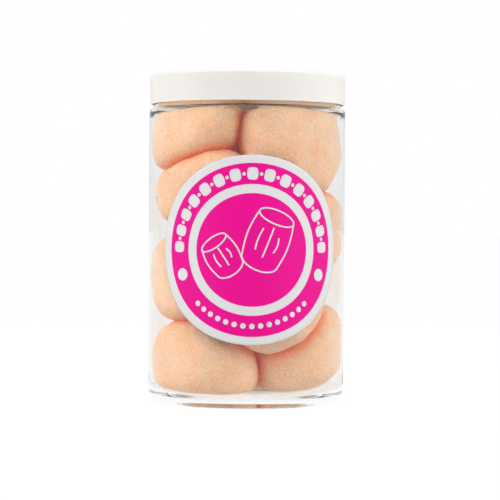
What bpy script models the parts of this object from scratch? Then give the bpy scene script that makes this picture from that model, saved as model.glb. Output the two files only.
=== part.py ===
"""A clear jar with a white screw lid and a round label, full of sugared marshmallows.

Metres, +Z up. The origin is at the centre of the jar's base, on the surface it
stands on. -Y is the front, which the label faces.
"""
import math
from collections import namedtuple

import bmesh
import bpy
from mathutils import Euler, Vector

MM = 0.001
GAP = 0.3 * MM                      # air between pieces that touch
SEGMENTS = 60                       # flats around each turned piece

# Jar, blown and moulded in clear plastic
BODY_RADIUS = 42.5 * MM
WALL = 0.7 * MM
HEEL_RADIUS = 6.2 * MM
FOOT_INNER_RADIUS = 30.0 * MM       # inner edge of the flat ring it stands on
PUSH_UP = 2.0 * MM                  # hollow of the base above the table
PUSH_UP_SLOPE = 4.0 * MM            # width of the slope from the ring up to the hollow
FLOOR_HEIGHT = 3.2 * MM             # inner floor, over a thick base
SHOULDER_HEIGHT = 125.4 * MM        # where the wall starts to turn in
SHOULDER_RADIUS = 2.2 * MM
INNER_SHOULDER_HEIGHT = 122.4 * MM
INNER_SHOULDER_RISE = 4.0 * MM
NECK_RADIUS = BODY_RADIUS - SHOULDER_RADIUS
NECK_WALL = 1.4 * MM
NECK_TOP = 140.0 * MM

# Lid, moulded in white plastic
LID_RADIUS = 42.35 * MM
LID_BOTTOM = 128.9 * MM
LID_TOP = 141.8 * MM
LID_SKIRT = 1.05 * MM
LID_EDGE = 1.3 * MM                 # rounding of the top edge
LID_HEM = 0.4 * MM                  # rounding of the skirt's lower edge
LID_BEVEL = 0.6 * MM                # slope inside, where the skirt meets the top
LID_UNDERSIDE = NECK_TOP + GAP

# Screw thread: one ridge on the neck, one inside the skirt, half a pitch apart
THREAD_PITCH = 4.0 * MM
THREAD_TURNS = 1.3
THREAD_START = 131.1 * MM
THREAD_HEIGHT = 0.62 * MM
THREAD_ROOT = 1.2 * MM
THREAD_CREST = 0.5 * MM
THREAD_BITE = 0.4 * MM              # how deep a ridge's foot is sunk in its wall
THREAD_STEPS = 43                   # lengths in one turn, out of step with the wall's flats
THREAD_PHASE = 0.37                 # part of a length by which the ridge starts late
THREAD_FADE = 6                     # lengths over which each end rises
THREAD_TIP = 0.2                    # height of the very end, as a share

# Label, an oval on the flat that looks round from the front
LABEL_HALF_ANGLE = math.radians(57.2)
LABEL_TURN = math.radians(3.3)      # its centre sits a little to the right
LABEL_HALF_HEIGHT = 39.5 * MM
LABEL_CENTRE = 66.8 * MM
LABEL_THICKNESS = 0.2 * MM
LABEL_STRIPS = 32
LABEL_END = 0.998                   # share of the half width where the end strips stop

# Marshmallows: soft domes with one flat cut face, pressed together in the jar
FILL_TOP = 135.0 * MM
NECK_TAPER = 0.333                  # how fast the room narrows towards the neck
PRESS = 8.0                         # higher values give tighter corners
YIELD = 0.95                        # how readily a bun spreads flat on what it meets
DOME = 2.1                          # roundness of the domed side
CUT = 3.4                           # roundness towards the cut face

Bun = namedtuple("Bun", "name azimuth out height lean_side lean_front width thickness")

# azimuth: degrees round the jar from the front, positive to the right
# out, height: place of the middle, in mm from the axis and above the table
# lean_side, lean_front: degrees that the cut face turns from facing down
# width, thickness: free size in mm
BUNS = (
    Bun("marshmallow_01", -50, 23.0, 19.0, 0, 0, 52, 41),
    Bun("marshmallow_02", 72, 23.4, 24.0, -26, 4, 53, 35),
    Bun("marshmallow_03", -178, 23.0, 21.5, 10, -12, 54, 42),
    Bun("marshmallow_04", -55, 23.8, 54.5, 160, 0, 51, 43),
    Bun("marshmallow_05", 24, 25.5, 45.0, 180, 10, 50, 46),
    Bun("marshmallow_06", 158, 22.5, 55.0, 0, 20, 54, 44),
    Bun("marshmallow_07", -40, 22.4, 92.5, 12, 0, 55, 41),
    Bun("marshmallow_08", 64, 22.6, 74.0, -35, 0, 51, 42),
    Bun("marshmallow_09", -172, 22.0, 87.0, -15, -10, 55, 44),
    Bun("marshmallow_10", -58, 25.2, 118.0, -27, 0, 56, 40),
    Bun("marshmallow_11", 49, 25.2, 110.5, 162, 0, 50, 50),
    Bun("marshmallow_12", 172, 21.0, 116.0, 15, 10, 55, 43),
)

CLEAR_PLASTIC = ("clear_plastic", (0.93, 0.94, 0.93, 0.3), 0.06)
WHITE_PLASTIC = ("white_plastic", (0.86, 0.85, 0.83, 1.0), 0.38)
PRINTED_LABEL = ("printed_label", (0.82, 0.01, 0.28, 1.0), 0.42)
MARSHMALLOW = ("sugared_marshmallow", (0.93, 0.62, 0.42, 1.0), 0.85)


def clear_objects():
    for item in list(bpy.data.objects):
        bpy.data.objects.remove(item, do_unlink=True)


def material(finish):
    name, colour, roughness = finish
    made = bpy.data.materials.get(name)
    if made is None:
        made = bpy.data.materials.new(name)
        made.use_nodes = True
        shader = made.node_tree.nodes["Principled BSDF"]
        shader.inputs["Base Color"].default_value = colour
        shader.inputs["Alpha"].default_value = colour[3]
        shader.inputs["Roughness"].default_value = roughness
        shader.inputs["Metallic"].default_value = 0.0
    return made


def add_object(name, bm, finish=None):
    """Turn a finished bmesh into an object shaded smooth, with sharp corners kept."""
    bmesh.ops.recalc_face_normals(bm, faces=bm.faces)
    mesh = bpy.data.meshes.new(name)
    bm.to_mesh(mesh)
    bm.free()
    mesh.shade_smooth()
    mesh.set_sharp_from_angle(angle=math.radians(40))
    if finish is not None:
        mesh.materials.append(material(finish))
    item = bpy.data.objects.new(name, mesh)
    bpy.context.collection.objects.link(item)
    return item


def arc(centre, radii, start, end, steps):
    """Points (radius, height) along an arc, which may be an ellipse's, in degrees."""
    points = []
    for step in range(steps + 1):
        angle = math.radians(start + (end - start) * step / steps)
        points.append((centre[0] + radii[0] * math.cos(angle),
                       centre[1] + radii[1] * math.sin(angle)))
    return points


def turned(name, profile, finish):
    """Spin an open profile, whose two ends are on the axis, into a closed solid."""
    bm = bmesh.new()
    points = [bm.verts.new((radius, 0.0, height)) for radius, height in profile]
    lines = [bm.edges.new(pair) for pair in zip(points, points[1:])]
    bmesh.ops.spin(bm, geom=points + lines, cent=(0, 0, 0), axis=(0, 0, 1),
                   angle=math.tau, steps=SEGMENTS, use_merge=True)
    bmesh.ops.remove_doubles(bm, verts=bm.verts, dist=0.001 * MM)
    return add_object(name, bm, finish)


def jar_profile():
    """From the middle of the base, up the outside, over the rim and down the inside."""
    heel = (BODY_RADIUS - HEEL_RADIUS, HEEL_RADIUS)
    inner_radius = BODY_RADIUS - WALL
    inner_heel = HEEL_RADIUS - WALL
    neck_inner = NECK_RADIUS - NECK_WALL
    rim = NECK_WALL / 2
    outside = [(0.0, PUSH_UP), (FOOT_INNER_RADIUS - PUSH_UP_SLOPE, PUSH_UP)]
    outside += [(FOOT_INNER_RADIUS, 0.0)]
    outside += arc(heel, (HEEL_RADIUS, HEEL_RADIUS), -90, 0, 4)
    outside += arc((NECK_RADIUS, SHOULDER_HEIGHT), (SHOULDER_RADIUS, SHOULDER_RADIUS), 0, 90, 4)
    over_rim = arc((NECK_RADIUS - rim, NECK_TOP - rim), (rim, rim), 0, 180, 3)
    shoulder = arc((neck_inner, INNER_SHOULDER_HEIGHT),
                   (inner_radius - neck_inner, INNER_SHOULDER_RISE), 90, 0, 3)
    inside = arc((inner_radius - inner_heel, FLOOR_HEIGHT + inner_heel),
                 (inner_heel, inner_heel), 0, -90, 3)
    return outside + over_rim + shoulder + inside + [(0.0, FLOOR_HEIGHT)]


def lid_profile():
    """From the middle of the top, down the outside of the skirt and up the inside."""
    inner = LID_RADIUS - LID_SKIRT
    outside = [(0.0, LID_TOP)]
    outside += arc((LID_RADIUS - LID_EDGE, LID_TOP - LID_EDGE), (LID_EDGE, LID_EDGE), 90, 0, 3)
    outside += arc((LID_RADIUS - LID_HEM, LID_BOTTOM + LID_HEM), (LID_HEM, LID_HEM), 0, -90, 2)
    inside = [(inner, LID_BOTTOM), (inner, LID_UNDERSIDE - LID_BEVEL)]
    inside += [(inner - LID_BEVEL, LID_UNDERSIDE), (0.0, LID_UNDERSIDE)]
    return outside + inside


def thread_ridge(name, wall_radius, outward, start):
    """A helical ridge, thin at both ends, whose foot is sunk into the wall it sits on."""
    bm = bmesh.new()
    steps = round(THREAD_STEPS * THREAD_TURNS)
    previous = None
    for step in range(steps + 1):
        angle = math.tau * (step + THREAD_PHASE) / THREAD_STEPS
        fade = min(1.0, THREAD_TIP + min(step, steps - step) / THREAD_FADE)
        foot = wall_radius - outward * THREAD_BITE
        crest = wall_radius + outward * THREAD_HEIGHT * fade
        middle = start + THREAD_PITCH * step / THREAD_STEPS
        section = []
        for radius, offset in ((foot, -THREAD_ROOT), (crest, -THREAD_CREST),
                               (crest, THREAD_CREST), (foot, THREAD_ROOT)):
            point = (radius * math.cos(angle), radius * math.sin(angle), middle + offset / 2)
            section.append(bm.verts.new(point))
        if previous is None:
            bm.faces.new(section)
        else:
            for corner in range(4):
                following = (corner + 1) % 4
                bm.faces.new((previous[corner], previous[following],
                              section[following], section[corner]))
        previous = section
    bm.faces.new(previous)
    ridge = add_object(name, bm)
    ridge.hide_render = True
    ridge.display_type = "WIRE"
    return ridge


def join_ridge(body, ridge):
    union = body.modifiers.new(ridge.name, "BOOLEAN")
    union.operation = "UNION"
    union.solver = "EXACT"
    union.object = ridge


def label_edge(share):
    """Half the label's height where it is this share of its half width from its middle."""
    return LABEL_HALF_HEIGHT * math.sqrt(max(0.0, 1.0 - share * share))


def make_label():
    """Upright strips bent round the jar, one strip wide at a time, with a front and a back."""
    inner = BODY_RADIUS + GAP
    outer = inner + LABEL_THICKNESS
    bm = bmesh.new()
    columns = []
    for strip in range(LABEL_STRIPS + 1):
        share = -math.cos(math.pi * strip / LABEL_STRIPS) * LABEL_END
        azimuth = LABEL_TURN + LABEL_HALF_ANGLE * share
        corners = []
        for radius in (inner, outer):
            for side in (-1, 1):
                corners.append(bm.verts.new((radius * math.sin(azimuth),
                                             -radius * math.cos(azimuth),
                                             LABEL_CENTRE + side * label_edge(share))))
        columns.append((corners[0], corners[1], corners[3], corners[2]))
    bm.faces.new(columns[0])
    bm.faces.new(columns[-1])
    for left, right in zip(columns, columns[1:]):
        for corner in range(4):
            following = (corner + 1) % 4
            bm.faces.new((left[corner], left[following], right[following], right[corner]))
    return add_object("label", bm, PRINTED_LABEL)


def middle_of(bun):
    azimuth = math.radians(bun.azimuth)
    return Vector((bun.out * math.sin(azimuth), -bun.out * math.cos(azimuth), bun.height)) * MM


def way_to_plane(direction, normal, distance):
    """How far the plane is, as one over the distance along a direction (0: never met)."""
    return max(0.0, direction.dot(normal) / distance)


def way_to_wall(middle, direction, radius, taper, height):
    """The same for a round wall whose radius is given at a height and shrinks upwards."""
    room = radius - taper * (middle.z - height)
    rate = -taper * direction.z
    a = direction.x ** 2 + direction.y ** 2 - rate ** 2
    b = middle.x * direction.x + middle.y * direction.y - rate * room
    c = middle.x ** 2 + middle.y ** 2 - room ** 2
    root = math.sqrt(max(0.0, b * b - a * c))
    return max(0.0, (-b - root) / c)


def own_shape(bun, direction):
    """The bun's free shape: a dome above its middle and a flatter cut side below."""
    across = math.hypot(direction.x, direction.y) / (bun.width / 2 * MM)
    along = abs(direction.z) / (bun.thickness / 2 * MM)
    power = DOME if direction.z > 0 else CUT
    return (across ** power + along ** power) ** (1 / power)


def make_bun(bun):
    """A marshmallow that spreads flat on the jar and its neighbours, with soft corners.

    Each limit gives one over its distance from the bun's middle. The limits are
    added as powers, which rounds the skin off where two of them meet. The skin
    also stops at the nearest limit, which gives the flats.
    """
    middle = middle_of(bun)
    lean = Euler((math.radians(bun.lean_front), math.radians(bun.lean_side), 0.0))
    lean_back = lean.to_matrix().transposed()
    contacts = []
    for other in BUNS:
        if other is not bun:
            apart = middle_of(other) - middle
            share = bun.thickness / (bun.thickness + other.thickness)
            contacts.append((apart.normalized(), apart.length * share - GAP / 2))
    wall = BODY_RADIUS - WALL - GAP
    neck = NECK_RADIUS - NECK_WALL - GAP
    neck_foot = INNER_SHOULDER_HEIGHT + INNER_SHOULDER_RISE
    heel_inset = (HEEL_RADIUS - WALL) * (1 - math.sqrt(0.5))
    heel = wall - heel_inset - GAP
    bm = bmesh.new()
    bmesh.ops.create_icosphere(bm, subdivisions=3, radius=1.0)
    for vert in bm.verts:
        direction = vert.co.normalized()
        limits = [own_shape(bun, lean_back @ direction)]
        limits += [way_to_plane(direction, normal, distance) for normal, distance in contacts]
        limits.append(way_to_plane(direction, Vector((0, 0, -1)), middle.z - FLOOR_HEIGHT - GAP))
        limits.append(way_to_plane(direction, Vector((0, 0, 1)), FILL_TOP - middle.z))
        limits.append(way_to_wall(middle, direction, wall, 0.0, 0.0))
        limits.append(way_to_wall(middle, direction, neck, NECK_TAPER, neck_foot))
        limits.append(way_to_wall(middle, direction, heel, -1.0, FLOOR_HEIGHT + heel_inset))
        free = limits[0]
        held = [limit * YIELD for limit in limits[1:]]
        soft = (free ** PRESS + sum(limit ** PRESS for limit in held)) ** (1 / PRESS)
        vert.co = direction / max(soft, *limits)
    item = add_object(bun.name, bm, MARSHMALLOW)
    item.location = middle
    return item


def main():
    clear_objects()
    jar = turned("jar", jar_profile(), CLEAR_PLASTIC)
    join_ridge(jar, thread_ridge("neck_thread", NECK_RADIUS, 1, THREAD_START))
    lid = turned("lid", lid_profile(), WHITE_PLASTIC)
    join_ridge(lid, thread_ridge("lid_thread", LID_RADIUS - LID_SKIRT, -1,
                                 THREAD_START + THREAD_PITCH / 2))
    make_label()
    for bun in BUNS:
        make_bun(bun)


main()
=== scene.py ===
"""A clear screw-lid jar full of peach marshmallows dusted with sugar.

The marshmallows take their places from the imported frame. The jar, the lid and
the label are turned and bent afresh with finer edges, and everything that
shows has a finish of its own.
"""

import math

import bmesh
import bpy
import numpy as np
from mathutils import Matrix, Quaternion, Vector, noise
from mathutils.bvhtree import BVHTree


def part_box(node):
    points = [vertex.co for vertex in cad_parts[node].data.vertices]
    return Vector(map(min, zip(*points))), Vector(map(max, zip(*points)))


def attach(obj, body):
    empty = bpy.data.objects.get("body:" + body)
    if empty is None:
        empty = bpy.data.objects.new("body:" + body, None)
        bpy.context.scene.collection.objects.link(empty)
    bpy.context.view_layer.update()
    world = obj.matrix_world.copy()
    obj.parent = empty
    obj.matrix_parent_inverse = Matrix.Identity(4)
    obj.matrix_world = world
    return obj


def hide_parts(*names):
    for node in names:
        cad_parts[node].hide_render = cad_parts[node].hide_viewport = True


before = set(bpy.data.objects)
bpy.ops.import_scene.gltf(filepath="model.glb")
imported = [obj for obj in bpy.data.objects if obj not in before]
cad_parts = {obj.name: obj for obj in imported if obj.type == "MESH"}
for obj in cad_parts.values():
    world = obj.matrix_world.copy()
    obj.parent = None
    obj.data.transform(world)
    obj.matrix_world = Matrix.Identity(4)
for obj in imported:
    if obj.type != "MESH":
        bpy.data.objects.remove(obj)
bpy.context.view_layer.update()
scene = bpy.context.scene
MM = 0.001

# Places and sizes read from the frame
jar_low, jar_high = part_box("jar")
lid_low, lid_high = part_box("lid")
label_low, label_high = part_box("label")
BODY_RADIUS = (jar_high.x - jar_low.x) / 2
LID_RADIUS = (lid_high.x - lid_low.x) / 2
LABEL_REACH = -label_low.y
LABEL_LEFT = math.asin(label_low.x / LABEL_REACH)
LABEL_RIGHT = math.asin(label_high.x / LABEL_REACH)
LABEL_TURN = (LABEL_LEFT + LABEL_RIGHT) / 2
LABEL_HALF_WIDTH = (LABEL_RIGHT - LABEL_LEFT) / 2 * BODY_RADIUS
LABEL_HALF_HEIGHT = (label_high.z - label_low.z) / 2
LABEL_CENTRE = (label_high.z + label_low.z) / 2

# Jar
WALL = 0.7 * MM
HEEL = 6.2 * MM
FOOT_INNER = 30.0 * MM
PUSH_UP = 2.0 * MM
FLOOR = 3.2 * MM
SHOULDER_DROP = 3.5 * MM            # from the lid's hem down to the top of the wall
SHOULDER = 2.2 * MM
SHOULDER_FOOT = 2.6 * MM            # how far the inner shoulder starts below the outer
SHOULDER_RISE = 4.0 * MM
NECK_RADIUS = BODY_RADIUS - SHOULDER
NECK_WALL = 1.1 * MM
SHOULDER_HEIGHT = lid_low.z - SHOULDER_DROP
SEAM_AZIMUTH = math.radians(-17.0)  # parting line left by the mould's two halves
SEAM_PROUD = 0.05 * MM

# Lid
SKIRT = 1.05 * MM
LID_EDGE = 1.3 * MM
LID_HEM = 0.4 * MM
GATE_RADIUS = 2.6 * MM              # dimple at the middle of the top, where it was filled

# Screw thread, on the neck and inside the skirt
THREAD_PITCH = 4.0 * MM
THREAD_TURNS = 1.3
THREAD_START = lid_low.z + 2.2 * MM
THREAD_HEIGHT = 0.6 * MM
THREAD_HALF_WIDTH = 0.55 * MM

# Label, as shares of its own half width and half height
RIM_SHARE = (0.895, 0.914)
BAND_SHARE = (0.664, 0.691)
DISC_SHARE = (0.570, 0.597)
LABEL_LIFT = 0.02 * MM              # glue between the jar and the sheet
PAPER = 0.1 * MM
INK = 0.02 * MM
PILLOW_STEP = 12.6                  # degrees round the band from one shape to the next
SMALL_DOT_STEP = 6.4
SIDE_DOT_ANGLE = 109.5              # degrees from the top to each big dot

# Marshmallows
CLEAR = 0.06 * MM                   # least distance from the jar's plastic
NECK_TAPER = 1 / 3                  # how fast the room narrows towards the neck
ROUNDING = 45                       # rounds of smoothing that soften the solids' flats
PLUMP = 1.02                        # swell over the frame's firmer solids
LUMP = 0.8 * MM
DIMPLE = 0.22 * MM
BULGE_RISE = 4.0 * MM               # height over which the bulge into the neck comes and goes
NECK_OUTER = 0.95                   # share of the neck's radius where it is in full
NECK_PULL = 5.0                     # how sharply it fades inside that
CLOSE = 7.0 * MM                    # how near a neighbour starts the painted crevice shade and glow
CRYSTALS = 24000
CRUMBS = 2400


# ---------------------------------------------------------------- shader maths

class Socket:
    """A shader output that can be used in sums, such as 1 - a * 2."""

    def __init__(self, finish, socket):
        self.finish = finish
        self.socket = socket

    def maths(self, operation, *values):
        sockets = dict(enumerate(values))
        return self.finish.node("Math", {"operation": operation}, sockets)

    def __add__(self, other):
        return self.maths("ADD", self, other)

    def __sub__(self, other):
        return self.maths("SUBTRACT", self, other)

    def __rsub__(self, other):
        return self.maths("SUBTRACT", other, self)

    def __mul__(self, other):
        return self.maths("MULTIPLY", self, other)

    __radd__ = __add__
    __rmul__ = __mul__

    def most(self, other):
        return self.maths("MAXIMUM", self, other)


class Finish:
    """A material or world whose nodes are written as calls and sums."""

    def __init__(self, owner):
        owner.use_nodes = True
        self.owner = owner
        self.tree = owner.node_tree
        self.tree.nodes.clear()

    def node(self, kind, settings=None, sockets=None, out=0):
        made = self.tree.nodes.new("ShaderNode" + kind)
        for name, value in (settings or {}).items():
            setattr(made, name, value)
        for name, value in (sockets or {}).items():
            if isinstance(value, Socket):
                self.tree.links.new(value.socket, made.inputs[name])
            else:
                made.inputs[name].default_value = value
        return Socket(self, made.outputs[out]) if made.outputs else None

    def place(self):
        return self.node("TexCoord", out="Object")

    def noise(self, size, detail=2.0, roughness=0.5, stretch=None):
        """Noise whose blotches are about this size, in metres."""
        where = self.place()
        if stretch is not None:
            where = self.node("VectorMath", {"operation": "MULTIPLY"}, {0: where, 1: stretch})
        return self.node("TexNoise", sockets={"Vector": where, "Scale": 1.0 / size,
                                              "Detail": detail, "Roughness": roughness})

    def ramp(self, value, low, high):
        """0 below low, 1 above high, with a soft way between."""
        return self.node("MapRange", {"interpolation_type": "SMOOTHSTEP"},
                         {"Value": value, "From Min": low, "From Max": high})

    def blend(self, share, first, second):
        return self.node("Mix", {"data_type": "RGBA"},
                         {"Factor": share, 6: first, 7: second}, out=2)

    def bump(self, height, distance, strength=1.0):
        return self.node("Bump", sockets={"Height": height, "Distance": distance,
                                          "Strength": strength})

    def surface(self, shader):
        self.node("OutputMaterial", sockets={"Surface": shader})
        return self.owner


def new_finish(name):
    return Finish(bpy.data.materials.new(name))


def colour(red, green, blue):
    return (red, green, blue, 1.0)


# -------------------------------------------------------------------- finishes

def marshmallow_finish():
    """Soft peach foam under a crust of fine sugar, with painted shade and a painted glow deepening
    the colour where two of them meet; the sugar dust is thinner there too.
    """
    make = new_finish("marshmallow_sugared")
    mottle = make.noise(14 * MM, 3.0, 0.55)
    freckle = make.noise(3.2 * MM, 3.0, 0.6)
    grain = make.noise(0.95 * MM, 2.0, 0.7)
    cells = make.node("TexVoronoi", sockets={"Vector": make.place(), "Scale": 1 / (1.0 * MM)})
    chance = make.node("TexVoronoi", sockets={"Vector": make.place(), "Scale": 1 / (1.0 * MM)},
                       out="Color")
    picked = make.node("SeparateColor", sockets={"Color": chance})
    dust = (1 - make.ramp(cells, 0.15, 0.5)) * make.ramp(picked, 0.35, 0.75)
    close = make.node("Attribute", {"attribute_name": "closeness"}, out="Fac")
    peach = make.blend(make.ramp(mottle, 0.36, 0.66), colour(0.985, 0.54, 0.29),
                       colour(1.0, 0.64, 0.41))
    peach = make.blend(make.ramp(freckle, 0.5, 0.78) * 0.5, peach, colour(0.95, 0.43, 0.20))
    # painted shade: deeper, redder orange towards where two marshmallows meet, standing in for the
    # shade and scattered light in the crevices
    peach = make.blend(make.ramp(close, 0.0, 0.6), peach, colour(0.96, 0.36, 0.13))
    peach = make.blend(make.ramp(close, 0.5, 1.0), peach, colour(0.91, 0.21, 0.055))
    peach = make.blend((1 - make.ramp(grain, 0.3, 0.5)) * 0.4, peach, colour(0.94, 0.40, 0.18))
    peach = make.blend((dust * 0.75 + make.ramp(grain, 0.5, 0.7) * 0.35) * (1 - close * 0.7),
                       peach, colour(1.0, 0.87, 0.74))
    relief = grain * 0.8 + dust * 0.6 + freckle * 0.6
    return make.surface(make.node("BsdfPrincipled", sockets={
        "Base Color": peach,
        "Roughness": make.ramp(grain, 0.3, 0.8) * 0.25 + 0.6,
        "Specular IOR Level": 0.2,
        # painted glow: a faint orange emission in the crevices stands in for light scattered
        # between the marshmallows
        "Emission Color": make.blend(close, colour(0.0, 0.0, 0.0), colour(0.06, 0.010, 0.002)),
        "Emission Strength": 1.0,
        "Subsurface Weight": 0.6,
        "Subsurface Radius": (1.0, 0.42, 0.22),
        "Subsurface Scale": 4.0 * MM,
        "Sheen Weight": 0.08,
        "Sheen Roughness": 0.5,
        "Normal": make.bump(relief, 0.55 * MM, 1.0)}))


def sugar_finish():
    """Clear white grains that catch the light, with a faint painted glow that lightens those in
    shade.
    """
    make = new_finish("sugar_grains")
    tone = make.noise(1.5 * MM, 1.0)
    return make.surface(make.node("BsdfPrincipled", sockets={
        "Base Color": make.blend(tone, colour(1.0, 0.83, 0.68), colour(1.0, 0.93, 0.84)),
        "Roughness": make.ramp(tone, 0.3, 0.7) * 0.2 + 0.12,
        "Specular IOR Level": 0.4,
        # painted glow: a faint warm emission keeps the grains light where they sit in shade
        "Emission Color": colour(0.16, 0.11, 0.075),
        "Emission Strength": 1.0,
        "Subsurface Weight": 0.5,
        "Subsurface Radius": (1.0, 0.8, 0.6),
        "Subsurface Scale": 0.6 * MM}))


def clear_finish():
    """Clear blown plastic: lamps shine through it, and everything else is bent by it."""
    make = new_finish("clear_plastic_blown")
    drawn = make.noise(16 * MM, 2.0, 0.5, stretch=(1.0, 1.0, 0.25))
    haze = make.noise(3 * MM, 3.0, 0.6)
    body = make.node("BsdfPrincipled", sockets={
        "Base Color": make.blend(haze, colour(0.92, 0.915, 0.905), colour(0.935, 0.93, 0.92)),
        "Roughness": make.ramp(haze, 0.35, 0.75) * 0.012,
        "IOR": 1.42,
        "Transmission Weight": 1.0,
        "Normal": make.bump(drawn, 0.12 * MM, 0.2)})
    through = make.node("BsdfTransparent", sockets={"Color": colour(0.99, 0.985, 0.98)})
    shadow = make.node("LightPath", out="Is Shadow Ray")
    return make.surface(make.node("MixShader", sockets={0: shadow, 1: body, 2: through}))


def lid_finish():
    """White moulded plastic, thin enough to let some light through, with faint flow marks."""
    make = new_finish("white_plastic_satin")
    flow = make.noise(18 * MM, 3.0, 0.55, stretch=(1.0, 1.0, 3.0))
    skin = make.noise(0.35 * MM, 2.0, 0.6)
    rubbed = make.ramp(make.noise(1.6 * MM, 4.0, 0.7), 0.62, 0.8)
    body = make.node("BsdfPrincipled", sockets={
        "Base Color": make.blend(flow, colour(0.46, 0.445, 0.427), colour(0.475, 0.46, 0.443)),
        "Roughness": make.ramp(skin, 0.3, 0.7) * 0.08 + rubbed * 0.1 + 0.32,
        "Subsurface Weight": 0.7,
        "Subsurface Radius": (1.0, 0.95, 0.9),
        "Subsurface Scale": 3.0 * MM,
        "Normal": make.bump(skin * 0.5 + flow, 0.03 * MM, 0.5)})
    through = make.node("BsdfTransparent", sockets={"Color": colour(0.72, 0.69, 0.65)})
    shadow = make.node("LightPath", out="Is Shadow Ray")
    return make.surface(make.node("MixShader", sockets={0: shadow, 1: body, 2: through}))


def paper_finish(name, light, dark):
    """Coated label stock or the ink on it: even, with a slight tooth."""
    make = new_finish(name)
    cloud = make.noise(9 * MM, 3.0, 0.5)
    tooth = make.noise(0.3 * MM, 2.0, 0.6)
    return make.surface(make.node("BsdfPrincipled", sockets={
        "Base Color": make.blend(make.ramp(cloud, 0.3, 0.7) * 0.6 + tooth * 0.4, light, dark),
        "Roughness": make.ramp(tooth, 0.3, 0.7) * 0.1 + 0.42,
        "Specular IOR Level": 0.1,
        "Normal": make.bump(tooth, 0.012 * MM, 0.5)}))


def floor_finish():
    """White ground that keeps only a little of the shade the jar throws."""
    make = new_finish("pale_floor")
    grain = make.noise(60 * MM, 2.0)
    lit = make.node("BsdfPrincipled", sockets={
        "Base Color": make.blend(grain, colour(0.86, 0.86, 0.86), colour(0.88, 0.88, 0.88)),
        "Roughness": 0.9,
        "Specular IOR Level": 0.0})
    glow = make.node("Emission", sockets={"Color": colour(1.0, 1.0, 1.0), "Strength": 1.0})
    seen = make.node("LightPath", out="Is Camera Ray")
    mirrored = make.node("LightPath", out="Is Glossy Ray")
    refracted = make.node("LightPath", out="Is Transmission Ray")
    share = seen.most(mirrored).most(refracted) * 0.96
    return make.surface(make.node("MixShader", sockets={0: share, 1: lit, 2: glow}))


# ----------------------------------------------------------------- mesh making

def add_piece(name, vertices, faces, finishes, cad_nodes=(), smooth_angle=35):
    """A piece that rides with the object and takes the place of CAD nodes."""
    mesh = bpy.data.meshes.new(name)
    mesh.from_pydata(vertices, [], faces)
    for finish in finishes:
        mesh.materials.append(finish)
    mesh.validate()
    mesh.shade_smooth()
    mesh.set_sharp_from_angle(angle=math.radians(smooth_angle))
    piece = bpy.data.objects.new(name, mesh)
    scene.collection.objects.link(piece)
    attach(piece, "root")
    if cad_nodes:
        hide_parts(*cad_nodes)
    return piece


def arc(centre, radii, start, end, steps):
    """Points (radius, height) along an arc, in degrees."""
    points = []
    for step in range(steps + 1):
        angle = math.radians(start + (end - start) * step / steps)
        points.append((centre[0] + radii[0] * math.cos(angle),
                       centre[1] + radii[1] * math.sin(angle)))
    return points


def straight(start, end, steps):
    """The points between two others, without the ends."""
    return [tuple(start[axis] + (end[axis] - start[axis]) * step / steps for axis in (0, 1))
            for step in range(1, steps)]


def turned(name, profile, angles, relief, finish, cad_nodes):
    """Turn an open profile, whose two ends are on the axis, into a closed skin.

    relief(angle, radius, height) gives how far the skin stands proud there.
    """
    count = len(angles)
    vertices = [(0.0, 0.0, profile[0][1])]
    for radius, height in profile[1:-1]:
        for angle in angles:
            reach = radius + relief(angle, radius, height)
            vertices.append((reach * math.sin(angle), -reach * math.cos(angle), height))
    vertices.append((0.0, 0.0, profile[-1][1]))
    last = len(vertices) - 1
    faces = []
    for side in range(count):
        following = (side + 1) % count
        faces.append((0, 1 + following, 1 + side))
        for row in range(len(profile) - 3):
            first = 1 + row * count
            faces.append((first + side, first + following,
                          first + count + following, first + count + side))
        faces.append((last - count + side, last - count + following, last))
    add_piece(name, vertices, faces, [finish], cad_nodes)


def thread_ridge(angle, height, start):
    """Height of the screw thread's ridge there, from 0 to 1."""
    best = 0.0
    for turn in (0, 1):
        along = angle / math.tau + turn
        middle = start + THREAD_PITCH * along
        fade = min(1.0, along / 0.08, (THREAD_TURNS - along) / 0.08)
        off = abs(height - middle) / THREAD_HALF_WIDTH
        if fade > 0 and off < 1:
            best = max(best, fade * min(1.0, 1.8 * (1 - off)))
    return best


def even_angles(count, fine_at=()):
    """Angles all round, with a few more close to each given one."""
    angles = [math.tau * step / count for step in range(count)]
    for middle in fine_at:
        angles += [(middle + math.radians(0.22) * step) % math.tau for step in range(-4, 5)]
    return sorted(set(angles))


# ------------------------------------------------------------------ jar and lid

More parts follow.
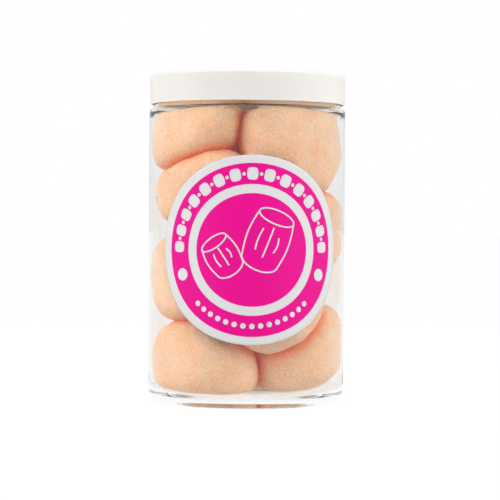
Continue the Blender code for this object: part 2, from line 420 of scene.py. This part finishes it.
def jar_profile():
    """From the middle of the base, up the outside, over the rim and down the inside."""
    inner = BODY_RADIUS - WALL
    inner_heel = HEEL - WALL
    neck_inner = NECK_RADIUS - NECK_WALL
    rim = NECK_WALL / 2
    neck_foot = SHOULDER_HEIGHT + SHOULDER
    neck_high = jar_high.z - rim
    inner_foot = SHOULDER_HEIGHT - SHOULDER_FOOT
    lower, upper = (BODY_RADIUS, HEEL), (BODY_RADIUS, SHOULDER_HEIGHT)
    points = [(0.0, PUSH_UP)]
    points += arc((FOOT_INNER - 6 * MM, PUSH_UP - 2 * MM), (2 * MM, 2 * MM), 90, 60, 3)
    points += arc((FOOT_INNER, 1.2 * MM), (1.2 * MM, 1.2 * MM), 235, 270, 3)
    points += arc((BODY_RADIUS - HEEL, HEEL), (HEEL, HEEL), -90, 0, 14)
    points += straight(lower, upper, 24)
    points += arc((NECK_RADIUS, SHOULDER_HEIGHT), (SHOULDER, SHOULDER), 0, 90, 12)
    points += straight((NECK_RADIUS, neck_foot), (NECK_RADIUS, neck_high), 48)
    points += arc((NECK_RADIUS - rim, neck_high), (rim, rim), 0, 180, 8)
    points += straight((neck_inner, neck_high), (neck_inner, inner_foot + SHOULDER_RISE), 6)
    points += arc((neck_inner, inner_foot), (inner - neck_inner, SHOULDER_RISE), 90, 0, 12)
    points += straight((inner, inner_foot), (inner, FLOOR + inner_heel), 24)
    points += arc((inner - inner_heel, FLOOR + inner_heel), (inner_heel, inner_heel), 0, -90, 12)
    points += [(FOOT_INNER, FLOOR), (FOOT_INNER / 2, FLOOR), (0.0, FLOOR)]
    return points


def jar_relief(angle, radius, height):
    """The thread on the neck, and the two fine seams down the outside."""
    on_outside = radius > BODY_RADIUS - WALL / 2 or (radius > NECK_RADIUS - WALL / 2
                                                     and height > SHOULDER_HEIGHT)
    if not on_outside:
        return 0.0
    proud = 0.0
    if height > lid_low.z:
        proud += THREAD_HEIGHT * thread_ridge(angle, height, THREAD_START)
    for seam in (SEAM_AZIMUTH, SEAM_AZIMUTH + math.pi):
        off = abs((angle - seam + math.pi) % math.tau - math.pi) / math.radians(0.22)
        proud += SEAM_PROUD * math.exp(-off * off)
    return min(proud, BODY_RADIUS - radius) if radius > NECK_RADIUS + WALL else proud


def lid_profile():
    """From the middle of the underside, down inside the skirt, round the hem and up."""
    inner = LID_RADIUS - SKIRT
    underside = jar_high.z + 0.3 * MM
    points = [(0.0, lid_high.z - 0.25 * MM), (GATE_RADIUS * 0.5, lid_high.z - 0.25 * MM)]
    points += [(GATE_RADIUS * 0.8, lid_high.z - 0.12 * MM), (GATE_RADIUS, lid_high.z)]
    points += straight((GATE_RADIUS, lid_high.z), (LID_RADIUS - LID_EDGE, lid_high.z), 8)
    points += arc((LID_RADIUS - LID_EDGE, lid_high.z - LID_EDGE), (LID_EDGE, LID_EDGE), 90, 0, 10)
    points += straight((LID_RADIUS, lid_high.z - LID_EDGE), (LID_RADIUS, lid_low.z + LID_HEM), 8)
    points += arc((LID_RADIUS - LID_HEM, lid_low.z + LID_HEM), (LID_HEM, LID_HEM), 0, -90, 5)
    points += [(inner + 0.2 * MM, lid_low.z), (inner, lid_low.z + 0.2 * MM)]
    points += straight((inner, lid_low.z + 0.2 * MM), (inner, underside - 0.6 * MM), 44)
    points += arc((inner - 0.6 * MM, underside - 0.6 * MM), (0.6 * MM, 0.6 * MM), 0, 90, 4)
    points += [(inner / 2, underside), (0.0, underside)]
    return points[::-1]


def lid_relief(angle, radius, height):
    """The thread inside the skirt."""
    if abs(radius - (LID_RADIUS - SKIRT)) > 0.01 * MM:
        return 0.0
    return -THREAD_HEIGHT * thread_ridge(angle, height, THREAD_START + THREAD_PITCH / 2)


# ------------------------------------------------------------------------ label

def on_jar(across, up, lift):
    """The point of the jar's wall at an arc length and a height from the label's middle."""
    azimuth = LABEL_TURN + across / BODY_RADIUS
    reach = BODY_RADIUS + lift
    return (reach * math.sin(azimuth), -reach * math.cos(azimuth), LABEL_CENTRE + up)


class Flat:
    """Shapes drawn flat on the label's own sheet, then bent round the jar as one piece."""

    def __init__(self):
        self.points = []
        self.faces = []

    def rings(self, middle, outlines, steps):
        """Closed outlines, each inside the next, joined by bands and closed in the middle."""
        first = len(self.points)
        self.points.append(middle)
        for outline in outlines:
            self.points += [outline(math.tau * step / steps) for step in range(steps)]
        for step in range(steps):
            following = (step + 1) % steps
            self.faces.append((first, first + 1 + step, first + 1 + following))
            for ring in range(len(outlines) - 1):
                near = first + 1 + ring * steps
                self.faces.append((near + step, near + steps + step,
                                   near + steps + following, near + following))

    def pad(self, middle, half_width, half_height, turn=0.0, squareness=2.0, steps=28):
        """A dot, or a pillow shape where squareness is above 2."""
        def outline_at(share):
            def outline(angle):
                across = math.copysign(abs(math.cos(angle)) ** (2 / squareness), math.cos(angle))
                up = math.copysign(abs(math.sin(angle)) ** (2 / squareness), math.sin(angle))
                x, y = across * half_width * share, up * half_height * share
                return (middle[0] + x * math.cos(turn) - y * math.sin(turn),
                        middle[1] + x * math.sin(turn) + y * math.cos(turn))
            return outline
        self.rings(middle, [outline_at(share) for share in (0.34, 0.67, 1.0)], steps)

    def stroke(self, route, width, closed=False):
        """A line of even width along a route of points."""
        count = len(route)
        first = len(self.points)
        for index, (x, y) in enumerate(route):
            before = route[index - 1] if index or closed else route[index]
            after = route[(index + 1) % count] if index < count - 1 or closed else route[index]
            run, rise = after[0] - before[0], after[1] - before[1]
            length = math.hypot(run, rise)
            side = (-rise / length * width / 2, run / length * width / 2)
            self.points += [(x - side[0], y - side[1]), (x + side[0], y + side[1])]
        for index in range(count if closed else count - 1):
            near, far = first + 2 * index, first + 2 * ((index + 1) % count)
            self.faces.append((near, far, far + 1, near + 1))

    def bent(self, name, lift, thickness, finishes, cad_nodes=()):
        vertices = [on_jar(across, up, lift) for across, up in self.points]
        piece = add_piece(name, vertices, self.faces, finishes, cad_nodes)
        if not cad_nodes:
            piece.data.shade_flat()
        solid = piece.modifiers.new("thickness", "SOLIDIFY")
        solid.thickness = thickness
        solid.offset = 1.0
        return piece


def ellipse_outline(width_share, height_share):
    def outline(angle):
        return (LABEL_HALF_WIDTH * width_share * math.cos(angle),
                LABEL_HALF_HEIGHT * height_share * math.sin(angle))
    return outline


def make_label(paper, ink):
    """One oval sheet: pale rim, ink band, pale ring and an ink disc in the middle."""
    sheet = Flat()
    fields = (((0.0, 0.0), DISC_SHARE, 18, 1), (DISC_SHARE, BAND_SHARE, 3, 0),
              (BAND_SHARE, RIM_SHARE, 8, 1), (RIM_SHARE, (1.0, 1.0), 4, 0))
    outlines = []
    printed = []
    for start, end, rows, field in fields:
        for row in range(1, rows + 1):
            share = row / rows
            outlines.append(ellipse_outline(start[0] + (end[0] - start[0]) * share,
                                            start[1] + (end[1] - start[1]) * share))
            printed.append(field)
    steps = 240
    sheet.rings((0.0, 0.0), outlines, steps)
    piece = sheet.bent("label_sheet", LABEL_LIFT, PAPER, [paper, ink], ["label"])
    for index, face in enumerate(piece.data.polygons):
        face.material_index = printed[index % len(outlines)]


def band_point(degrees_round):
    """A place in the middle of the label's ink band; 0 is the top, and it runs clockwise."""
    angle = math.radians(90 - degrees_round)
    across = (BAND_SHARE[0] + RIM_SHARE[0]) / 2
    up = (BAND_SHARE[1] + RIM_SHARE[1]) / 2
    return ellipse_outline(across, up)(angle), angle


def make_band_motifs(paper):
    """Pale pillow shapes round the top of the band, small dots below, and two big dots."""
    motifs = Flat()
    for step in range(-7, 8):
        middle, angle = band_point(step * PILLOW_STEP)
        motifs.pad(middle, 2.3 * MM, 2.6 * MM, angle - math.pi / 2, 3.2)
        if step < 7:
            between = band_point((step + 0.5) * PILLOW_STEP)[0]
            motifs.pad(between, 0.75 * MM, 0.75 * MM)
    for step in range(-7, 8):
        middle = band_point(180 + step * SMALL_DOT_STEP)[0]
        motifs.pad(middle, 1.15 * MM, 1.15 * MM)
    for side in (-1, 1):
        middle = band_point(side * SIDE_DOT_ANGLE)[0]
        motifs.pad(middle, 2.6 * MM, 2.6 * MM)
    motifs.bent("label_band_motifs", LABEL_LIFT + PAPER + INK, INK, [paper])


def make_icon(paper):
    """A plain line drawing of two plump marshmallows, one leaning on the other."""
    drawing = Flat()
    width = 0.62 * MM

    def barrel(middle, half_width, half_length, turn, bulge):
        """A drum seen from a little above one end."""
        def placed(x, y):
            return (middle[0] + x * math.cos(turn) - y * math.sin(turn),
                    middle[1] + x * math.sin(turn) + y * math.cos(turn))
        lid_depth = half_width * 0.36
        face = [placed(half_width * math.cos(math.tau * step / 60),
                       half_length + lid_depth * math.sin(math.tau * step / 60))
                for step in range(60)]
        drawing.stroke(face, width, closed=True)
        outline = []
        for step in range(41):
            share = step / 40
            swell = bulge * math.sin(math.pi * share)
            outline.append(placed(-half_width - swell, half_length * (1 - 2 * share)))
        for step in range(1, 40):
            angle = math.pi + math.pi * step / 40
            outline.append(placed(half_width * math.cos(angle),
                                  -half_length + lid_depth * 1.5 * math.sin(angle)))
        for step in range(41):
            share = 1 - step / 40
            swell = bulge * math.sin(math.pi * share)
            outline.append(placed(half_width + swell, half_length * (1 - 2 * share)))
        drawing.stroke(outline, width)
        for offset, length in ((-0.45, 0.5), (0.05, 0.7), (0.5, 0.35)):
            mark = []
            for step in range(21):
                share = step / 20 - 0.5
                mark.append(placed(half_width * offset + bulge * offset * math.cos(math.pi * share),
                                   -half_length * 0.15 + half_length * length * share * 2))
            drawing.stroke(mark, width)

    barrel((6.8 * MM, 4.6 * MM), 8.0 * MM, 9.6 * MM, math.radians(-22), 1.2 * MM)
    barrel((-12.8 * MM, -2.2 * MM), 6.2 * MM, 6.2 * MM, math.radians(34), 1.0 * MM)
    drawing.bent("label_icon_lines", LABEL_LIFT + PAPER + INK, INK, [paper])


# ----------------------------------------------------------------- marshmallows

def kept_inside(points):
    """Points moved back inside the jar where they would run into its plastic."""
    wall = BODY_RADIUS - WALL - CLEAR
    neck = NECK_RADIUS - NECK_WALL - CLEAR
    neck_foot = SHOULDER_HEIGHT - SHOULDER_FOOT + SHOULDER_RISE
    taper = np.clip(neck + (neck_foot - points[:, 2]) * NECK_TAPER, neck, wall)
    reach = np.hypot(points[:, 0], points[:, 1])
    shrink = np.minimum(1.0, taper / np.maximum(reach, 1e-9))
    points[:, 0] *= shrink
    points[:, 1] *= shrink
    points[:, 2] = np.maximum(points[:, 2], FLOOR + CLEAR)
    return points


def bulging_into_neck(points):
    """Points by the neck moved out towards it, as soft sweets pressed by a lid bulge."""
    neck = NECK_RADIUS - NECK_WALL
    reach = np.maximum(np.hypot(points[:, 0], points[:, 1]), 1e-9)
    outer = np.clip(1 + NECK_PULL * (reach / neck - NECK_OUTER), 0, 1)
    high = np.clip((points[:, 2] - SHOULDER_HEIGHT) / BULGE_RISE + 1, 0, 1)
    low = np.clip((lid_low.z - points[:, 2]) / BULGE_RISE + 1, 0, 1)
    pull = outer * high * low * np.maximum(0, neck / reach - 1)
    points[:, 0] *= 1 + pull
    points[:, 1] *= 1 + pull
    return points


def ball():
    """Directions and faces of a finely divided ball, and the ends of its edges."""
    bm = bmesh.new()
    bmesh.ops.create_icosphere(bm, subdivisions=6, radius=1.0)
    directions = np.array([vert.co[:] for vert in bm.verts])
    faces = np.array([[vert.index for vert in face.verts] for face in bm.faces])
    edges = np.array([[vert.index for vert in edge.verts] for edge in bm.edges])
    bm.free()
    return directions / np.linalg.norm(directions, axis=1)[:, None], faces, edges


def solid_tree(node):
    mesh = node.data
    corners = [vert.co.copy() for vert in mesh.vertices]
    return BVHTree.FromPolygons(corners, [tuple(face.vertices) for face in mesh.polygons])


def smoothed(values, edges, rounds):
    """Average each value with its neighbours', several times over."""
    count = np.zeros(len(values))
    np.add.at(count, edges.ravel(), 1.0)
    for _ in range(rounds):
        total = np.zeros(len(values))
        np.add.at(total, edges[:, 0], values[edges[:, 1]])
        np.add.at(total, edges[:, 1], values[edges[:, 0]])
        values = values * 0.4 + total / count * 0.6
    return values


def puffed(node, directions, edges, seed):
    """A CAD marshmallow's form with its flats rounded, swollen and gently lumpy."""
    tree = solid_tree(node)
    middle = sum((vert.co for vert in node.data.vertices), Vector()) / len(node.data.vertices)
    reach = np.array([tree.ray_cast(middle, Vector(way))[3] for way in directions])
    reach = smoothed(reach, edges, ROUNDING) * PLUMP
    shift = Vector((seed * 0.37, seed * 0.11, seed * 0.73))
    lumps = np.empty(len(reach))
    for index, way in enumerate(directions):
        point = (middle + Vector(way) * reach[index]) / MM
        lumps[index] = (LUMP * noise.noise(point / 13 + shift)
                        + LUMP * 0.5 * noise.noise(point / 6.5 + shift)
                        + DIMPLE * noise.noise(point / 2.6 + shift))
    points = np.array(middle) + directions * (reach + lumps)[:, None]
    return kept_inside(bulging_into_neck(points))


def closeness(points, trees, own):
    """1 where the skin meets a neighbour, 0 from a few millimetres away; it sets the painted shade
    and glow in the crevices and thins the sugar there.
    """
    near = np.zeros(len(points))
    for index, point in enumerate(points):
        where = Vector(point)
        gap = CLOSE
        for other, tree in enumerate(trees):
            if other != own:
                found = tree.find_nearest(where, gap)
                if found[3] is not None:
                    gap = min(gap, found[3])
        near[index] = 1 - gap / CLOSE
    return near ** 2


def make_marshmallows(finish):
    """One soft piece for each CAD marshmallow; returns their points, faces and closeness."""
    directions, faces, edges = ball()
    names = sorted(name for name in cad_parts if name.startswith("marshmallow"))
    trees = [solid_tree(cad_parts[name]) for name in names]
    made = []
    for number, name in enumerate(names):
        points = puffed(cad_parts[name], directions, edges, number)
        near = closeness(points, trees, number)
        piece = add_piece("puff" + name[-3:], points.tolist(), faces.tolist(), [finish],
                          [name], 80)
        # closeness, stored on each point, drives the painted crevice shade and glow in the
        # marshmallow finish
        layer = piece.data.attributes.new("closeness", "FLOAT", "POINT")
        layer.data.foreach_set("value", near.astype(np.float32))
        made.append((points, faces, near))
    return made


# ------------------------------------------------------------------------ sugar

def grains(name, centres, sizes, random, finish):
    """Small eight-sided crystals, each turned and stretched its own way, as one mesh."""
    corners = np.array([(1, 0, 0), (-1, 0, 0), (0, 1, 0), (0, -1, 0),
                        (0, 0, 1), (0, 0, -1)], float)
    sides = np.array([(0, 2, 4), (2, 1, 4), (1, 3, 4), (3, 0, 4),
                      (2, 0, 5), (1, 2, 5), (3, 1, 5), (0, 3, 5)])
    count = len(centres)
    turn = random.normal(size=(count, 4))
    turn /= np.linalg.norm(turn, axis=1)[:, None]
    w, x, y, z = turn.T
    spin = np.stack([1 - 2 * (y * y + z * z), 2 * (x * y - z * w), 2 * (x * z + y * w),
                     2 * (x * y + z * w), 1 - 2 * (x * x + z * z), 2 * (y * z - x * w),
                     2 * (x * z - y * w), 2 * (y * z + x * w), 1 - 2 * (x * x + y * y)],
                    axis=1).reshape(count, 3, 3)
    stretch = random.uniform(0.6, 1.0, (count, 1, 3)) * sizes[:, None, None]
    shaped = np.einsum("nij,nkj->nki", spin, corners[None] * stretch)
    vertices = kept_inside((shaped + centres[:, None, :]).reshape(-1, 3))
    faces = (sides[None] + np.arange(count)[:, None, None] * 6).reshape(-1, 3)
    add_piece(name, vertices.tolist(), faces.tolist(), [finish],
              smooth_angle=5)


def make_sugar(marshmallows, finish):
    """Crystals stuck all over the marshmallows, fewer where two of them rub."""
    random = np.random.default_rng(11)
    corners, weights = [], []
    for points, faces, near in marshmallows:
        triangles = points[faces]
        cross = np.cross(triangles[:, 1] - triangles[:, 0], triangles[:, 2] - triangles[:, 0])
        outward = triangles.mean(axis=1)[:, :2]
        seen = np.hypot(outward[:, 0], outward[:, 1]) > BODY_RADIUS * 0.45
        bare = 1 - near[faces].mean(axis=1)
        corners.append(triangles)
        weights.append(np.linalg.norm(cross, axis=1) * bare * np.where(seen, 1.0, 0.15))
    corners, weights = np.concatenate(corners), np.concatenate(weights)
    picked = random.choice(len(corners), CRYSTALS, p=weights / weights.sum())
    share = random.dirichlet((1, 1, 1), CRYSTALS)
    centres = np.einsum("nk,nkj->nj", share, corners[picked])
    sizes = random.choice((0.15, 0.22, 0.3), CRYSTALS, p=(0.55, 0.33, 0.12)) * MM
    grains("sugar_crystals", centres, sizes, random, finish)


def make_crumbs(finish):
    """Loose sugar on the jar's floor, drifted into the corner all round."""
    random = np.random.default_rng(23)
    drift = random.beta(5.0, 1.6, CRUMBS)
    azimuth = random.uniform(0, math.tau, CRUMBS)
    reach = (BODY_RADIUS - WALL) * (0.35 + 0.63 * drift)
    corner = BODY_RADIUS - HEEL
    inner_heel = HEEL - WALL
    off = np.clip(reach - corner, 0, inner_heel)
    height = FLOOR + inner_heel - np.sqrt(inner_heel ** 2 - off ** 2)
    sizes = random.uniform(0.14, 0.34, CRUMBS) * MM
    centres = np.stack([reach * np.sin(azimuth), -reach * np.cos(azimuth), height + sizes], axis=1)
    grains("sugar_crumbs", centres, sizes, random, finish)


# ------------------------------------------------------------------------ stage

CAMERA_AWAY = 0.85
CAMERA_HEIGHT = 0.083
CAMERA_SIDE = 0.0015
CAMERA_TILT = math.radians(1.15)
CAMERA_ROLL = math.radians(0.39)
CAMERA_LENS = 140.4

LAMP_AWAY = 0.75
LAMP_SIZE = 0.8
LAMP_POWER = 6.9
LAMP_AZIMUTH = math.radians(68)
LAMP_HEIGHT = 0.28
TOP_LAMP_HEIGHT = 0.65
TOP_LAMP_POWER = 3.0

FILL = (0.78, 0.78, 0.78, 1.0)      # what the studio's walls give to matt surfaces
SHEEN = (0.7, 0.7, 0.7, 1.0)        # and what glossy ones mirror


def make_camera():
    camera = bpy.data.objects.new("camera", bpy.data.cameras.new("camera"))
    camera.data.lens = CAMERA_LENS
    camera.location = (CAMERA_SIDE, -CAMERA_AWAY, CAMERA_HEIGHT)
    camera.rotation_mode = "QUATERNION"
    level = Quaternion((1, 0, 0), math.pi / 2 - CAMERA_TILT)
    camera.rotation_quaternion = level @ Quaternion((0, 0, 1), CAMERA_ROLL)
    scene.collection.objects.link(camera)
    scene.camera = camera


def make_lamp(name, location, size, power, mirrored):
    """A square soft lamp turned to face the jar, which gloss may mirror or not."""
    lamp = bpy.data.lights.new(name, "AREA")
    lamp.size = size
    lamp.energy = power
    holder = bpy.data.objects.new(name, lamp)
    holder.location = location
    aim = Vector((0, 0, lid_high.z / 2)) - holder.location
    holder.rotation_mode = "QUATERNION"
    holder.rotation_quaternion = aim.to_track_quat("-Z", "Y")
    holder.visible_glossy = mirrored
    holder.visible_transmission = False
    scene.collection.objects.link(holder)


def make_stage():
    size = 6.0
    mesh = bpy.data.meshes.new("floor")
    corners = [(-size, -size, 0), (size, -size, 0), (size, size, 0), (-size, size, 0)]
    mesh.from_pydata(corners, [], [(0, 1, 2, 3)])
    mesh.materials.append(floor_finish())
    floor = bpy.data.objects.new("floor", mesh)
    scene.collection.objects.link(floor)
    for side in (-1, 1):
        across = side * LAMP_AWAY * math.sin(LAMP_AZIMUTH)
        place = (across, -LAMP_AWAY * math.cos(LAMP_AZIMUTH), LAMP_HEIGHT)
        make_lamp(f"side_lamp_{side}", place, LAMP_SIZE, LAMP_POWER, False)
    make_lamp("top_lamp", (0.0, -0.15, TOP_LAMP_HEIGHT), LAMP_SIZE, TOP_LAMP_POWER, True)


def make_world():
    """White to the eye and in glass; a softer white fill on everything else."""
    world = bpy.data.worlds.new("studio")
    scene.world = world
    make = Finish(world)
    seen = make.node("LightPath", out="Is Camera Ray")
    mirrored = make.node("LightPath", out="Is Glossy Ray")
    refracted = make.node("LightPath", out="Is Transmission Ray")
    tone = make.blend(mirrored, FILL, SHEEN)
    tone = make.blend(seen.most(refracted), tone, colour(1.0, 1.0, 1.0))
    background = make.node("Background", sockets={"Color": tone, "Strength": 1.0})
    make.node("OutputWorld", sockets={"Surface": background})


def main():
    paper = paper_finish("label_paper", colour(0.41, 0.403, 0.406), colour(0.397, 0.392, 0.40))
    ink = paper_finish("label_magenta", colour(0.455, 0.0, 0.155), colour(0.44, 0.0, 0.148))
    sugar = sugar_finish()
    seams = (SEAM_AZIMUTH % math.tau, (SEAM_AZIMUTH + math.pi) % math.tau)
    turned("jar_shell", jar_profile(), even_angles(256, seams), jar_relief, clear_finish(),
           ["jar"])
    turned("lid_cap", lid_profile(), even_angles(224), lid_relief, lid_finish(),
           ["lid"])
    make_label(paper, ink)
    make_band_motifs(paper)
    make_icon(paper)
    marshmallows = make_marshmallows(marshmallow_finish())
    make_sugar(marshmallows, sugar)
    make_crumbs(sugar)
    make_stage()
    make_world()
    make_camera()
    scene.view_settings.view_transform = "Standard"
    scene.cycles.max_bounces = 24
    scene.cycles.transmission_bounces = 24
    scene.cycles.glossy_bounces = 8
    scene.cycles.diffuse_bounces = 6
    scene.cycles.transparent_max_bounces = 24


main()
